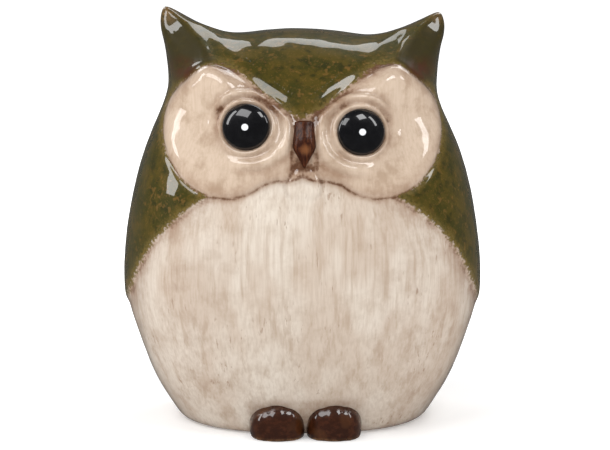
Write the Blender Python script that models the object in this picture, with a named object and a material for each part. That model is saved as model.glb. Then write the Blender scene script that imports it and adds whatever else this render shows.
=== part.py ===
"""Owl coin bank: a hollow slip-cast ceramic figure, with eyes, beak and feet stuck on and a soft stopper.

Metres, +Z up. The owl faces -Y and stands on z = 0. "Left" and "right" are as seen from the front,
so left is -X. The coin slot is in the back of the head, and the stopper closes a round hole underneath.
"""

import math

import bpy
import numpy as np
from mathutils import Matrix, Vector

MM = 0.001

# ---------------------------------------------------------------- overall sizes
HEIGHT = 151.0 * MM
WIDTH = 131.6 * MM
DEPTH = 105.0 * MM

# ---------------------------------------------------------------- casting
WALL = 4.5 * MM
BASE_EDGE = 3.0 * MM
FOOT_RING = 5.0 * MM
RECESS_DEPTH = 3.0 * MM

# ---------------------------------------------------------------- coin slot
SLOT_LENGTH = 38.0 * MM
SLOT_HEIGHT = 5.0 * MM
SLOT_PLACE = 0.785  # share of HEIGHT

# ---------------------------------------------------------------- stopper
HOLE_RADIUS = 20.0 * MM
FLANGE_OVERLAP = 4.0 * MM
FLANGE_THICKNESS = 1.8 * MM
STOPPER_WALL = 2.4 * MM
NECK_DEPTH = 0.9 * MM
BEAD_HEIGHT = 4.0 * MM
RIB_THICKNESS = 3.0 * MM

# ---------------------------------------------------------------- pieces stuck on
EYE_RADIUS = 8.8 * MM
EYE_STAND = 3.8 * MM
EYE_SINK = 0.5 * MM
LID_WIDTH = 2.2 * MM
BEAK_LENGTH = 16.3 * MM
BEAK_WIDTH = 8.2 * MM
BEAK_STAND = 3.6 * MM
FOOT_WIDTH = 20.0 * MM
FOOT_HEIGHT = 12.5 * MM
FOOT_STAND = 4.0 * MM  # in front of where its top meets the body
FOOT_BACK = 8.0 * MM
FOOT_ROUNDNESS = 2.5
FOOT_LIFT = 0.3  # how high its widest level is, as a share of FOOT_HEIGHT
FOOT_CROWN = 1.12  # how high it would rise on its own, as a share of FOOT_HEIGHT
TOE_GROOVE = 0.05  # how deep, as a share of the foot's size there
TOE_GROOVE_PLACE = 0.34
TOE_GROOVE_WIDTH = 0.12
FEET_GAP = 0.5 * MM
FEET_SHIFT = 1.1 * MM  # how far the hand-placed pair sits to the right

# ---------------------------------------------------------------- clearances
GAP = 0.3 * MM  # between touching pieces
FLANGE_ROOM = 1.0 * MM  # round the stopper's flange in the recess
PAST = 5.0 * MM  # how far a cutter runs past what it cuts

# The figure is drawn in millimetres inside this box, and the overall sizes stretch the drawing.
DRAWN = np.array([131.6, 105.0, 151.0])
STRETCH = np.array([WIDTH, DEPTH, HEIGHT]) / DRAWN
DRAWN_MIDDLE = 98.0
RAY_START = np.array([0.0, -14.0, 94.0])

# Front outline of the right half, as (across, up): the crown to the ear tip, then down the side to a
# point under the base, where the flat base cuts it off.
CROWN = [(0, 143.0), (8, 142.7), (17, 141.7), (25, 141.2), (33, 143.0), (42, 147.0), (50, 151.4)]
EAR_SIDE = [(50.0, 151.4), (51.8, 146.5), (50.6, 139.0), (49.3, 130.0), (49.2, 121.5), (51.9, 113.2)]
WING_SIDE = [(56.8, 102.0), (61.4, 87.3), (64.3, 72.4), (65.8, 57.0), (65.2, 43.5), (61.5, 31.0)]
BASE_SIDE = [(55.0, 16.3), (46.0, 1.5), (34.0, -13.0), (18.0, -23.0), (0.0, -26.5)]
SIDE = EAR_SIDE + WING_SIDE + BASE_SIDE

# Half the depth from front to back, as (up, half depth).
BODY_DEPTH = [(-30, 49.0), (0, 52.0), (25, 54.5), (50, 55.2), (75, 53.0)]
HEAD_DEPTH = [(98, 49.0), (125, 43.0), (143, 38.0), (155, 34.0)]
HALF_DEPTH = BODY_DEPTH + HEAD_DEPTH
ROUNDNESS = 2.25  # 2 is an ellipse, more is squarer
EAR_THINNING = 0.62
EAR_BACK = 24.0  # how far behind the middle the ears have died away
EAR_ANGLES = (15.0, 62.0)  # where the ear starts and ends, in degrees from straight up
HEAD_LEAN = 0.02

# Places on the face, drawn in millimetres across and up.
LEFT_EYE = (-19.8, 112.7)
RIGHT_EYE = (20.7, 110.9)
BEAK_TOP = (0.7, 115.3)
DISC = ((28.0, 110.0), 22.0)
DISC_INNER = ((6.5, 106.5), 12.0)
DISC_CORNER = ((33.0, 130.2), 4.0)
BROW_LOW = 113.7
BROW_SLOPE = 0.715
BELLY_CENTRE = 31.3
BELLY_RADIUS = 66.1

# Relief on the casting, in millimetres.
RIM_HEIGHT = 1.5
RIM_WIDTH = 4.5
DISH_DEPTH = 1.1
CREASE_DEPTH = 0.6
CREASE_WIDTH = 1.8
LID_HEIGHT = 1.2
FOLD_HEIGHT = 1.3
BROW_HEIGHT = 1.3
BROW_WIDTH = 18.0
EAR_HOLLOW = 2.5
BELLY_STEP = 0.9
BELLY_FADE = 14.0


# ---------------------------------------------------------------- small maths
def smooth(start, end, value):
    """0 before start, 1 after end, and an even curve between them."""
    t = np.clip((value - start) / (end - start), 0.0, 1.0)
    return t * t * (3.0 - 2.0 * t)


def bump(distance, half_width):
    """1 at no distance, falling to 0 at half_width either side."""
    return np.clip(1.0 - (distance / half_width) ** 2, 0.0, None) ** 2


def spline(points, count):
    """A natural cubic spline through the points, read at count places along its chords."""
    points = np.asarray(points, float)
    chord = np.linalg.norm(np.diff(points, axis=0), axis=1)
    knots = np.concatenate([[0.0], np.cumsum(chord)])
    size = len(points)
    system = np.eye(size)
    wanted = np.zeros_like(points)
    for i in range(1, size - 1):
        before, after = chord[i - 1], chord[i]
        system[i, i - 1 : i + 2] = (before, 2 * (before + after), after)
        wanted[i] = 6 * ((points[i + 1] - points[i]) / after - (points[i] - points[i - 1]) / before)
    bend = np.linalg.solve(system, wanted)
    along = np.linspace(0.0, knots[-1], count)
    span = np.clip(np.searchsorted(knots, along, side="right") - 1, 0, size - 2)
    length = chord[span][:, None]
    a = (knots[span + 1] - along)[:, None] / length
    b = 1.0 - a
    curve = (a**3 - a) * bend[span] + (b**3 - b) * bend[span + 1]
    return a * points[span] + b * points[span + 1] + curve * length**2 / 6.0


# ---------------------------------------------------------------- the figure's form
def outline_radius(soften_degrees=0.9):
    """Distance from the drawing's middle to the outline, against the angle from straight up."""
    line = np.vstack([spline(CROWN, 200), spline(SIDE, 600)[1:]])
    angle = np.arctan2(line[:, 0], line[:, 1] - DRAWN_MIDDLE)
    radius = np.hypot(line[:, 0], line[:, 1] - DRAWN_MIDDLE)
    order = np.argsort(angle)
    even = np.linspace(0.0, math.pi, 1801)
    radius = np.interp(even, angle[order], radius[order])
    reach = int(round(3 * soften_degrees * 10))
    weights = np.exp(-0.5 * (np.arange(-reach, reach + 1) / (soften_degrees * 10)) ** 2)
    padded = np.concatenate([radius[reach:0:-1], radius, radius[-2 : -reach - 2 : -1]])
    return even, np.convolve(padded, weights / weights.sum(), mode="valid")


ANGLES, OUTLINE = outline_radius()
EAR_START, EAR_END = np.radians(EAR_ANGLES)
EARLESS = np.where(
    (ANGLES > EAR_START) & (ANGLES < EAR_END),
    np.interp(ANGLES, (EAR_START, EAR_END), np.interp((EAR_START, EAR_END), ANGLES, OUTLINE)),
    OUTLINE,
)
DEPTH_CURVE = spline(HALF_DEPTH, 300)
SIDE_CURVE = spline(SIDE, 600)[::-1]  # from the bottom up


def field(point, outline=OUTLINE, floor=0.0):
    """Under zero inside the figure. point is in metres, and floor is the height of the flat base."""
    x, y, z = np.moveaxis(point / STRETCH, -1, 0)
    z = z + HEAD_LEAN * x * smooth(95.0, 125.0, z)
    up = z - DRAWN_MIDDLE
    angle = np.arctan2(np.abs(x), up)
    ear = np.interp(angle, ANGLES, outline - EARLESS) * smooth(EAR_BACK, 0.0, y)
    radius = np.interp(angle, ANGLES, EARLESS) + ear
    half_depth = np.interp(z, DEPTH_CURVE[:, 0], DEPTH_CURVE[:, 1])
    on_ear = smooth(128.0, 150.0, z) * smooth(12.0, 46.0, np.abs(x))
    half_depth = half_depth * (1.0 - EAR_THINNING * on_ear)
    across, deep = np.hypot(x, up) / radius, np.abs(y) / half_depth
    share = (across**ROUNDNESS + deep**ROUNDNESS) ** (1 / ROUNDNESS)
    from_middle = np.linalg.norm(point - (0.0, 0.0, DRAWN_MIDDLE * STRETCH[2]), axis=-1)
    side = from_middle * (1.0 - 1.0 / np.maximum(share, 0.05))
    base = floor - point[..., 2]
    blend = np.maximum(BASE_EDGE - np.abs(side - base), 0.0) / BASE_EDGE
    return np.maximum(side, base) + blend**2 * BASE_EDGE / 4.0


def shoot(directions, start, **form):
    """Where each ray from start leaves the form."""
    near = np.zeros(len(directions))
    far = np.full(len(directions), HEIGHT + WIDTH)
    for _ in range(34):
        middle = (near + far) / 2.0
        outside = field(start + directions * middle[:, None], **form) > 0.0
        near = np.where(outside, near, middle)
        far = np.where(outside, middle, far)
    return start + directions * near[:, None]


def normals(point, step=0.2 * MM, **form):
    slope = np.stack(
        [field(point + axis, **form) - field(point - axis, **form) for axis in np.eye(3) * step], axis=-1
    )
    return slope / np.linalg.norm(slope, axis=-1, keepdims=True)


def surface_point(place, side=-1.0):
    """The point and outward normal on the front (side -1) or back (side 1) at a drawn place."""
    start = np.array([[place[0], 0.0, place[1]]]) * STRETCH
    point = shoot(np.array([[0.0, side, 0.0]]), start)
    return point[0], normals(point)[0]


# ---------------------------------------------------------------- relief on the casting, in millimetres
def capsule(x, z, first, second):
    """Distance to the shape that two discs, each (centre, radius), sweep between them."""
    (ax, az), a_radius = first
    (bx, bz), b_radius = second
    run = (bx - ax, bz - az)
    along = np.clip(((x - ax) * run[0] + (z - az) * run[1]) / (run[0] ** 2 + run[1] ** 2), 0.0, 1.0)
    radius = a_radius + along * (b_radius - a_radius)
    return np.hypot(x - ax - along * run[0], z - az - along * run[1]) - radius


def disc_distance(x, z):
    """Signed distance to the facial disc's edge, under zero inside."""
    across = np.abs(x)
    return np.minimum(capsule(across, z, DISC, DISC_INNER), capsule(across, z, DISC, DISC_CORNER))


def brow_height(x, z):
    """Distance above the green cap's lower edge."""
    return (z - BROW_LOW - BROW_SLOPE * np.hypot(x, 3.0)) / math.hypot(1.0, BROW_SLOPE)


def belly_distance(x, y, z):
    """Signed distance to the belly's edge, over zero on the belly, carried on round the back."""
    half = np.interp(z, SIDE_CURVE[:, 1], SIDE_CURVE[:, 0])
    across = np.where(y < 0.0, np.abs(x), 2.0 * half - np.abs(x))
    return BELLY_RADIUS - np.hypot(across, np.maximum(z - BELLY_CENTRE, 0.0))


def relief(point):
    """How far the modelled detail stands out of the form, in metres."""
    x, y, z = np.moveaxis(point / STRETCH, -1, 0)
    front = smooth(-6.0, -16.0, y)
    disc = disc_distance(x, z)
    brow = brow_height(x, z)
    face = smooth(1.0, -2.5, brow) * front
    rim = RIM_HEIGHT * smooth(0.0, -RIM_WIDTH, disc)
    dish = DISH_DEPTH * smooth(-5.0, -12.0, disc)
    height = (rim - dish - CREASE_DEPTH * bump(disc, CREASE_WIDTH)) * face
    for place in (LEFT_EYE, RIGHT_EYE):
        centre, _ = surface_point(place)
        away = (np.linalg.norm(point - centre, axis=-1) - EYE_RADIUS) / MM
        lid = LID_WIDTH / MM
        rolled = LID_HEIGHT * bump(away - 0.65 * lid, 0.6 * lid)
        fold = FOLD_HEIGHT * bump(away - 2.4 * lid, lid)
        height = height * smooth(0.5 * lid, 3.2 * lid, away) + face * (rolled + fold)
    beak_middle = BEAK_TOP[1] - BEAK_LENGTH / MM / 2
    beside = np.maximum(np.abs(x - BEAK_TOP[0]) - BEAK_WIDTH / MM / 2, 0.0)
    below = np.maximum(np.abs(z - beak_middle) - BEAK_LENGTH / MM / 2, 0.0)
    height = height * smooth(0.6, 3.0, np.hypot(beside, below))
    cap = BROW_HEIGHT * smooth(-2.0, 1.5, brow) * smooth(BROW_WIDTH, 3.0, brow)
    from_outline = np.interp(z, SIDE_CURVE[:, 1], SIDE_CURVE[:, 0]) - np.abs(x)
    hollow = EAR_HOLLOW * smooth(0.5, -4.0, brow) * smooth(1.0, 6.0, from_outline)
    hollow = hollow * smooth(122.0, 132.0, z) * smooth(0.0, 3.0, disc)
    height = height + (cap - hollow) * smooth(-1.0, -8.0, y)
    belly = belly_distance(x, y, z)
    step = smooth(-1.5, 1.5, belly) * smooth(BELLY_FADE, 3.0, belly)
    step = step * smooth(-0.5, 2.0, disc) * smooth(5.0, 14.0, z)
    return (height - BELLY_STEP * step) * MM


# ---------------------------------------------------------------- meshes
def cube_sphere(cells):
    """Unit directions and quads of a cube's six faces, each cells by cells, with their seams joined."""
    grid = np.tan(np.linspace(-math.pi / 4, math.pi / 4, cells + 1))
    across, up = np.meshgrid(grid, grid, indexing="ij")
    index = np.arange((cells + 1) ** 2).reshape(cells + 1, cells + 1)
    corners = [index[:-1, :-1], index[1:, :-1], index[1:, 1:], index[:-1, 1:]]
    face = np.stack(corners, axis=-1).reshape(-1, 4)
    points, quads = [], []
    for axis in range(3):
        for sign in (1.0, -1.0):
            outward = np.zeros(3)
            outward[axis] = sign
            first = np.roll(np.array([0.0, 1.0, 0.0]), axis)
            second = np.cross(outward, first)
            side = outward + across[..., None] * first + up[..., None] * second
            quads.append(face + len(points) * len(side.reshape(-1, 3)))
            points.append(side.reshape(-1, 3))
    points = np.concatenate(points)
    _, first_seen, joined = np.unique(points.round(6), axis=0, return_index=True, return_inverse=True)
    points = points[first_seen]
    return points / np.linalg.norm(points, axis=1, keepdims=True), joined.reshape(-1)[np.concatenate(quads)]


def mesh_object(name, points, faces, material=None):
    mesh = bpy.data.meshes.new(name)
    mesh.from_pydata([tuple(point) for point in points], [], [tuple(face) for face in faces])
    mesh.update()
    mesh.shade_smooth()
    mesh.set_sharp_from_angle(angle=math.radians(40))
    made = bpy.data.objects.new(name, mesh)
    bpy.context.scene.collection.objects.link(made)
    if material:
        mesh.materials.append(material)
    return made


def cutter(made):
    made.hide_render = True
    made.display_type = "WIRE"
    return made


def boolean(target, other, operation="DIFFERENCE"):
    step = target.modifiers.new(other.name, "BOOLEAN")
    step.operation = operation
    step.object = other
    step.solver = "EXACT"


def prism(name, outline, low, high, axis):
    """A closed prism: outline is a list of 2-D points, axis is 'Y' or 'Z'."""
    count = len(outline)
    if axis == "Z":
        rings = [[(a, b, level) for a, b in outline] for level in (low, high)]
    else:
        rings = [[(a, level, b) for a, b in outline] for level in (high, low)]
    faces = [tuple(reversed(range(count))), tuple(range(count, 2 * count))]
    for i in range(count):
        j = (i + 1) % count
        faces.append((i, j, j + count, i + count))
    return mesh_object(name, rings[0] + rings[1], faces)


def turned(name, profile, segments, material=None):
    """A solid turned about Z from a closed profile of (radius, height), on the axis at both ends."""
    ring = [2 * math.pi * k / segments for k in range(segments)]
    points, rows = [], []
    for radius, height in profile:
        if radius < 1e-9:
            rows.append([len(points)] * segments)
            points.append((0.0, 0.0, height))
        else:
            rows.append(list(range(len(points), len(points) + segments)))
            points += [(radius * math.cos(a), radius * math.sin(a), height) for a in ring]
    faces = []
    for lower, upper in zip(rows, rows[1:]):
        for k in range(segments):
            n = (k + 1) % segments
            corners = [lower[k], lower[n], upper[n], upper[k]]
            faces.append(tuple(dict.fromkeys(corners)))
    return mesh_object(name, points, faces, material)


def principled(name, colour, roughness, metallic=0.0):
    material = bpy.data.materials.new(name)
    material.use_nodes = True
    shader = material.node_tree.nodes["Principled BSDF"]
    shader.inputs["Base Color"].default_value = (*colour, 1.0)
    shader.inputs["Roughness"].default_value = roughness
    shader.inputs["Metallic"].default_value = metallic
    material.diffuse_color = (*colour, 1.0)
    return material


# ---------------------------------------------------------------- the casting
FINE_CELLS = 64
CAVITY_CELLS = 12
KEPT_SHARE = 0.1  # of the fine grid's triangles


def figure_points(cells, lift=0.0):
    directions, quads = cube_sphere(cells)
    point = shoot(directions, RAY_START * STRETCH)
    normal = normals(point)
    raised = point + normal * (relief(point) + lift)[:, None]
    raised[:, 2] = np.maximum(raised[:, 2], -lift)
    return raised, quads


def base_section():
    """Half width and half depth of the flat under the base."""
    level = BASE_EDGE / 20.0
    reach = shoot(np.array([[1.0, 0.0, 0.0], [0.0, 1.0, 0.0]]), np.array([0.0, 0.0, level]))
    return reach[0, 0] - BASE_EDGE, reach[1, 1] - BASE_EDGE


def recess_outline(count=48):
    """The base's outline less the foot ring, and never closer to the stopper's flange than its room."""
    half_across, half_deep = base_section()
    power = 2.0 / ROUNDNESS
    turn = np.linspace(0.0, 2.0 * math.pi, count, endpoint=False)
    c, s = np.cos(turn), np.sin(turn)
    across = (half_across - FOOT_RING) * np.sign(c) * np.abs(c) ** power
    deep = (half_deep - FOOT_RING) * np.sign(s) * np.abs(s) ** power
    room = HOLE_RADIUS + FLANGE_OVERLAP + FLANGE_ROOM
    widening = np.maximum(1.0, room / np.hypot(across, deep))
    return list(zip((across * widening).tolist(), (deep * widening).tolist()))


def slot_outline(steps=8):
    """A level slot with round ends, centred at its place on the head."""
    radius = SLOT_HEIGHT / 2
    points = []
    for end in (1, -1):
        for k in range(steps + 1):
            turn = -math.pi / 2 + math.pi * k / steps
            across = end * (SLOT_LENGTH / 2 - radius + radius * math.cos(turn))
            points.append((across, SLOT_PLACE * HEIGHT + end * radius * math.sin(turn)))
    return points


def make_shell(material):
    points, quads = figure_points(FINE_CELLS)
    shell = mesh_object("body_shell", points, quads, material)
    thin = shell.modifiers.new("fewer_faces", "DECIMATE")
    thin.ratio = KEPT_SHARE

    directions, quads = cube_sphere(CAVITY_CELLS)
    hollow = {"outline": EARLESS, "floor": RECESS_DEPTH}
    inner = shoot(directions, RAY_START * STRETCH, **hollow)
    inner = inner - normals(inner, **hollow) * WALL
    boolean(shell, cutter(mesh_object("cut_cavity", inner, quads)))

    boolean(shell, cutter(prism("cut_recess", recess_outline(), -PAST, RECESS_DEPTH, "Z")))

    turn = [2 * math.pi * k / 48 for k in range(48)]
    hole = [(HOLE_RADIUS * math.cos(a), HOLE_RADIUS * math.sin(a)) for a in turn]
    boolean(shell, cutter(prism("cut_stopper_hole", hole, -PAST, RECESS_DEPTH + WALL + PAST, "Z")))

    back, _ = surface_point((0.0, SLOT_PLACE * DRAWN[2]), side=1.0)
    slot = prism("cut_coin_slot", slot_outline(), back[1] - 3 * WALL - PAST, back[1] + PAST, "Y")
    boolean(shell, cutter(slot))
    return shell


# ---------------------------------------------------------------- pieces stuck on
def face_frame(place, up=Vector((0, 0, 1))):
    """Placing on the surface at a drawn place: X across, Y up along it, Z straight out."""
    point, normal = surface_point(place)
    out = Vector(normal)
    across = up.cross(out).normalized()
    frame = Matrix((across, out.cross(across), out)).transposed().to_4x4()
    frame.translation = Vector(point)
    return frame


def make_eye(name, place, seat, material):
    segments, rows = 28, 14
    depth = EYE_STAND + EYE_SINK
    profile = []
    for k in range(rows + 1):
        turn = -math.pi / 2 + math.pi * k / rows
        radius = 0.0 if k in (0, rows) else EYE_RADIUS * math.cos(turn)
        profile.append((radius, depth * math.sin(turn) - EYE_SINK))
    eye = turned(name, profile, segments, material)
    eye.matrix_world = face_frame(place)
    boolean(eye, seat)
    return eye


def make_beak(seat, material):
    """A shield: nearly straight sides, widest two thirds down, then a point."""
    rows, segments = 12, 16
    middle = (BEAK_TOP[0], BEAK_TOP[1] - BEAK_LENGTH / MM / 2)
    points, faces = [], []
    for row in range(rows):
        down = row / (rows - 1)
        widening = 0.18 * smooth(0.0, 0.55, down)
        narrowing = 0.93 * smooth(0.55, 1.12, down) ** 0.8
        half = BEAK_WIDTH / 2 * (0.82 + widening - narrowing)
        stand = BEAK_STAND * (0.55 + 0.45 * smooth(0.0, 0.5, down) - 0.5 * smooth(0.6, 1.0, down))
        for k in range(segments):
            turn = 2 * math.pi * k / segments
            out = stand * math.sin(turn) if turn < math.pi else 1.2 * BEAK_STAND * math.sin(turn)
            points.append((half * math.cos(turn), BEAK_LENGTH * (0.5 - down), out))
    for row in range(rows - 1):
        for k in range(segments):
            n = (k + 1) % segments
            a, b = row * segments, (row + 1) * segments
            faces.append((a + k, b + k, b + n, a + n))
    faces.append(tuple(range(segments)))
    faces.append(tuple(reversed(range((rows - 1) * segments, rows * segments))))
    beak = mesh_object("beak", points, faces, material)
    beak.matrix_world = face_frame(middle)
    boolean(beak, seat)
    return beak


def make_foot(name, side, seat, ground, material):
    """Three rounded toes in one piece, against the front of the base and flat underneath."""
    segments, rows = 26, 34
    across = side * (FOOT_WIDTH + FEET_GAP) / 2 + FEET_SHIFT
    meets, _ = surface_point((across / STRETCH[0], FOOT_HEIGHT / STRETCH[2]))
    lift = FOOT_LIFT * FOOT_HEIGHT
    profile = []
    for k in range(rows + 1):
        turn = -math.pi / 2 + math.pi * k / rows
        profile.append((0.0 if k in (0, rows) else math.cos(turn), math.sin(turn)))
    foot = turned(name, profile, segments, material)
    for vertex in foot.data.vertices:
        y, z, x = vertex.co
        powers = abs(x) ** FOOT_ROUNDNESS + abs(y) ** FOOT_ROUNDNESS + abs(z) ** FOOT_ROUNDNESS
        square = powers ** (-1 / FOOT_ROUNDNESS)
        groove = TOE_GROOVE * math.exp(-(((abs(x) - TOE_GROOVE_PLACE) / TOE_GROOVE_WIDTH) ** 2))
        vertex.co.x = x * square * FOOT_WIDTH / 2
        vertex.co.y = y * square * (FOOT_STAND + FOOT_BACK) * (1 - groove)
        vertex.co.z = z * square * (FOOT_CROWN * FOOT_HEIGHT - lift) * (1 - groove)
    foot.location = (across, meets[1] + FOOT_BACK, lift)
    boolean(foot, ground)
    boolean(foot, seat)
    return foot


# ---------------------------------------------------------------- stopper
def make_stopper(material):
    """A soft cup: flange under the floor, neck in the hole, bead above it, and a rib to grip."""
    top_of_floor = RECESS_DEPTH + WALL
    flange_top = RECESS_DEPTH - GAP
    flange_low = flange_top - FLANGE_THICKNESS
    bead = HOLE_RADIUS - GAP
    neck = bead - NECK_DEPTH
    closed = top_of_floor + GAP + BEAD_HEIGHT
    inside = neck - STOPPER_WALL
    rim = HOLE_RADIUS + FLANGE_OVERLAP
    edge = FLANGE_THICKNESS / 4
    profile = [
        (0.0, closed - STOPPER_WALL),
        (inside, closed - STOPPER_WALL),
        (inside, flange_low),
        (rim - edge, flange_low),
        (rim, flange_low + edge),
        (rim, flange_top - edge),
        (rim - edge, flange_top),
        (neck, flange_top),
        (neck, top_of_floor + GAP),
        (bead, top_of_floor + GAP + 0.3 * BEAD_HEIGHT),
        (bead, top_of_floor + GAP + 0.55 * BEAD_HEIGHT),
        (bead - 0.25 * BEAD_HEIGHT, closed),
        (0.0, closed),
    ]
    stopper = turned("stopper", profile, 48, material)
    reach = inside + STOPPER_WALL / 2
    half = RIB_THICKNESS / 2
    outline = [(-reach, -half), (reach, -half), (reach, half), (-reach, half)]
    rib = cutter(prism("join_rib", outline, flange_low + 0.5 * MM, closed - STOPPER_WALL / 2, "Z"))
    boolean(stopper, rib, "UNION")
    return stopper


# ---------------------------------------------------------------- assembly
def main():
    for old in list(bpy.data.objects):
        bpy.data.objects.remove(old, do_unlink=True)

    glaze = principled("glazed_earthenware", (0.42, 0.37, 0.24), 0.12)
    black = principled("eye_glaze", (0.006, 0.006, 0.007), 0.05)
    horn = principled("beak_glaze", (0.07, 0.012, 0.004), 0.15)
    umber = principled("foot_glaze", (0.045, 0.011, 0.005), 0.10)
    rubber = principled("stopper_rubber", (0.02, 0.02, 0.02), 0.60)

    make_shell(glaze)

    points, quads = figure_points(FINE_CELLS, lift=GAP)
    seat = cutter(mesh_object("cut_seat", points, quads))
    box = [(-WIDTH, -DEPTH), (WIDTH, -DEPTH), (WIDTH, DEPTH), (-WIDTH, DEPTH)]
    ground = cutter(prism("cut_ground", box, -HEIGHT, 0.0, "Z"))

    make_eye("left_eye", LEFT_EYE, seat, black)
    make_eye("right_eye", RIGHT_EYE, seat, black)
    make_beak(seat, horn)
    make_foot("left_foot", -1, seat, ground, umber)
    make_foot("right_foot", 1, seat, ground, umber)
    make_stopper(rubber)


main()
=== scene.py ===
import math

import bpy
import numpy as np
from mathutils import Matrix, Vector


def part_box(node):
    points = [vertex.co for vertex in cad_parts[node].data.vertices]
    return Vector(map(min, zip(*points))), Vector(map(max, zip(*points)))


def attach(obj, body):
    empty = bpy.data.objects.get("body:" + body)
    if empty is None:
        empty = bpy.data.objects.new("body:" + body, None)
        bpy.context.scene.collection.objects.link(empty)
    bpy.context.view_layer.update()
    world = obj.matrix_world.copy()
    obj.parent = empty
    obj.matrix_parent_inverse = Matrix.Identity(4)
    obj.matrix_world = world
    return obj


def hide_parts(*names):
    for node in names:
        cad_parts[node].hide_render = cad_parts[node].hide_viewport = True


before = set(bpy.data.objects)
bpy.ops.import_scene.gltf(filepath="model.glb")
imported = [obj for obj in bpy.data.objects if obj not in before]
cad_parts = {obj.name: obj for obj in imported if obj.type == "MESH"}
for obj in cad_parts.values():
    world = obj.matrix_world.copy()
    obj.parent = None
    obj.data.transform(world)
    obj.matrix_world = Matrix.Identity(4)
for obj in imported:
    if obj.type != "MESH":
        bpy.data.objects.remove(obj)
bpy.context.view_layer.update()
MM = 0.001

# ---------------------------------------------------------------- the shell's box, from the frame
SHELL_LOW, SHELL_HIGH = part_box("body_shell")
DRAWN_BOX = np.array([131.82, 105.918, 151.158])  # the box that the drawn millimetres below fill
STRETCH = (np.array(SHELL_HIGH) - np.array(SHELL_LOW)) / DRAWN_BOX
DRAWN_MIDDLE = 98.0
RAY_START = np.array([0.0, 6.0, 94.0])

# ---------------------------------------------------------------- hidden parts, sized as in the CAD
WALL = 4.5 * MM
BASE_EDGE = 3.0 * MM
RECESS_DEPTH = 3.0 * MM
FOOT_RING = 5.0 * MM
FOOT_TRIM = 0.05 * MM
FLOOR_DROP = 0.1 * MM
HOLE_RADIUS = 20.0 * MM
SLOT_LENGTH = 38.0 * MM
SLOT_HEIGHT = 5.0 * MM
SLOT_UP = 0.785 * DRAWN_BOX[2] * STRETCH[2]
LIP = 1.1 * MM
SLOT_CUT_DEPTH = 16 * MM
SLOT_CUT_PROUD = 4 * MM
PAST = 5 * MM  # how far a cutter runs past what it cuts
ROUND_SEGMENTS = 96
SHARP_DEGREES = 50

# ---------------------------------------------------------------- the figure, in drawn millimetres
EYE_RADIUS = 8.8
EYE_SQUASH = 0.94
EYE_DOT_SHIFT = 1.1

CROWN = [(0, 143.0), (8, 142.7), (17, 141.7), (25, 141.2), (33, 143.0), (42, 147.0), (50, 151.4)]
EAR_SIDE = [(50.0, 151.4), (51.8, 146.5), (50.6, 139.0), (49.3, 130.0)]
EAR_SIDE += [(49.2, 121.5), (51.9, 113.2)]
WING_SIDE = [(56.8, 102.0), (61.4, 87.3), (64.3, 72.4), (65.8, 57.0), (65.2, 43.5), (61.5, 31.0)]
BASE_SIDE = [(55.0, 16.3), (46.0, 1.5), (34.0, -13.0), (18.0, -23.0), (0.0, -26.5)]
SIDE = EAR_SIDE + WING_SIDE + BASE_SIDE
BODY_DEPTH = [(-30, 49.0), (0, 52.0), (25, 54.5), (50, 55.2), (75, 53.0)]
HEAD_DEPTH = [(98, 49.0), (125, 43.0), (143, 38.0), (155, 34.0)]
HALF_DEPTH = BODY_DEPTH + HEAD_DEPTH
ROUNDNESS = 2.25
EAR_THINNING = 0.62
EAR_BACK = 24.0
EAR_ANGLES = (15.0, 62.0)
HEAD_LEAN = 0.02

LEFT_EYE = (-19.8, 112.7)
RIGHT_EYE = (20.7, 110.9)
BEAK_TOP = (0.7, 115.3)
BEAK_SIZE = (8.2, 16.3)
DISC = ((28.0, 110.0), 22.0)
DISC_INNER = ((6.5, 106.5), 12.0)
DISC_CORNER_TURN, DISC_CORNER_SPREAD, DISC_CORNER_ROUND = 14.0, 30.0, 7.0
BIB = (((0.6, 101.0), 2.6), ((0.6, 93.0), 6.4))
BROW_LOW = 113.7
BROW_SLOPE = 0.715
EAR_RIDGE = ((33.0, 135.6), (50.0, 151.4))
BELLY_CENTRE = 31.3
BELLY_RADIUS = 66.1

# how far each detail stands out or sinks in
RIM_HEIGHT, RIM_WIDTH = 2.4, 5.2
DISH_START, DISH_SLOPE, DISH_DEPTH = 5.0, 0.27, 2.4
DISC_CREASE = 0.4
BIB_HEIGHT = 1.1
LID_HEIGHT, FOLD_HEIGHT, EYE_CORNER_DEPTH = 0.85, 1.6, 0.8
BROW_RIDGE, EAR_CREST, EAR_VALLEY = 1.3, 0.4, 0.50
BELLY_STEP = 0.9
EDGE_INSET = 0.35


# ---------------------------------------------------------------- small maths
def smooth(start, end, value):
    """0 before start, 1 after end, and an even curve between them."""
    t = np.clip((value - start) / (end - start), 0.0, 1.0)
    return t * t * (3.0 - 2.0 * t)


def bump(distance, half_width):
    """1 at no distance, falling to 0 at half_width either side."""
    return np.clip(1.0 - (distance / half_width) ** 2, 0.0, None) ** 2


def roll(distance, width):
    """The side of a rounded roll: 0 at the edge, rising fast, and 1 from width on."""
    return 1.0 - (1.0 - np.clip(distance / width, 0.0, 1.0)) ** 2.2


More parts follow.
